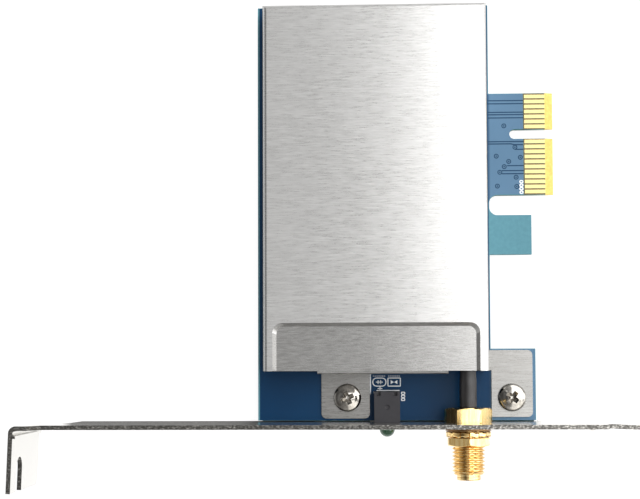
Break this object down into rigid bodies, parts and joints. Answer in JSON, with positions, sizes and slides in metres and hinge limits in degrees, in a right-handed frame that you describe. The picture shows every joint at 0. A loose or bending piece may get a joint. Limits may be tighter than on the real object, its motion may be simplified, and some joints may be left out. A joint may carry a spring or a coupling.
{
  "type": "wireless network card",
  "caption": "Computer expansion card with an edge connector, a brushed metal cover over its board, a slot bracket with a screw tab, and a threaded antenna port.",
  "frame": {"origin": "the card-edge datum: on the key notch's centre line, at the finger edge, on the board's mid-plane", "axes": "+X from the board towards the finger edge, -Y out through the bracket, +Z out of the component side"},
  "size_m": [0.1204, 0.0956, 0.0216],
  "materials": {
    "circuit_board": "blue solder mask on glass-fibre board",
    "contact_gold": "gold plating",
    "cover_steel": "fine brushing along the card's width",
    "bracket_nickel": "bright nickel plating with sheared edges",
    "screw_nickel": "polished nickel plating",
    "connector_gold": "polished gold plating",
    "white_insulator": "white PTFE",
    "sleeve_black": "black heat-shrink tube",
    "cable_jacket": "dark cable jacket",
    "socket_cream": "moulded liquid-crystal polymer",
    "holder_black": "moulded black nylon",
    "led_green": "green tinted lens",
    "tinned_metal": "bright tin",
    "chip_black": "black moulded package",
    "ceramic_tan": "tan ceramic body"
  },
  "bodies": {
    "card": {"pcb": "circuit_board", "edge_contacts_front": "contact_gold", "edge_contacts_back": "contact_gold", "shield_cover": "cover_steel", "mounting_bracket": "bracket_nickel", "antenna_connector": "connector_gold", "connector_insulator": "white_insulator", "center_contact": "connector_gold", "crimp_ferrule": "connector_gold", "heat_shrink_sleeve": "sleeve_black", "coax_cable": "cable_jacket", "coax_plug": "connector_gold", "coax_socket": "socket_cream", "led_holder": "holder_black", "status_led": "led_green", "led_leads": "tinned_metal", "led_solder_joints": "tinned_metal", "wifi_chip": "chip_black", "rf_amplifier": "chip_black", "rf_filter": "ceramic_tan", "crystal_oscillator": "tinned_metal", "eeprom_chip": "chip_black", "eeprom_leads": "tinned_metal", "voltage_regulator": "chip_black", "regulator_leads": "tinned_metal", "power_inductor": "chip_black", "bulk_capacitor_1": "ceramic_tan", "bulk_capacitor_2": "ceramic_tan", "coupling_capacitor_1": "ceramic_tan", "coupling_capacitor_2": "ceramic_tan", "decoupling_capacitor_1": "ceramic_tan", "decoupling_capacitor_2": "ceramic_tan", "decoupling_capacitor_3": "ceramic_tan", "decoupling_capacitor_4": "ceramic_tan", "chip_resistor_1": "chip_black", "chip_resistor_2": "chip_black", "chip_resistor_3": "chip_black"},
    "washers": {"flat_washer": "connector_gold", "lock_washer": "connector_gold"},
    "nut": {"hex_nut": "connector_gold"},
    "screw_left": {"left_screw": "screw_nickel"},
    "screw_right": {"right_screw": "screw_nickel"}
  },
  "joints": [
    {"name": "washer_slide", "type": "slide", "parent": "card", "child": "washers", "axis": [0, -1, 0], "range_m": [0, 0.00282]},
    {"name": "nut_turn", "type": "hinge", "parent": "washers", "child": "nut", "pos_m": [-0.0175, -0.06139, 0.0059], "axis": [0, -1, 0], "range_deg": [0, 1440]},
    {"name": "left_screw_turn", "type": "hinge", "parent": "card", "child": "screw_left", "pos_m": [-0.041, -0.0522, 0.00119], "axis": [0, 0, 1], "continuous": true},
    {"name": "right_screw_turn", "type": "hinge", "parent": "card", "child": "screw_right", "pos_m": [-0.00865, -0.0522, 0.00119], "axis": [0, 0, 1], "continuous": true}
  ],
  "couplings": [
    {"joint": "nut_turn", "follows": "washer_slide", "rad_per_m": 8904.7}
  ]
}
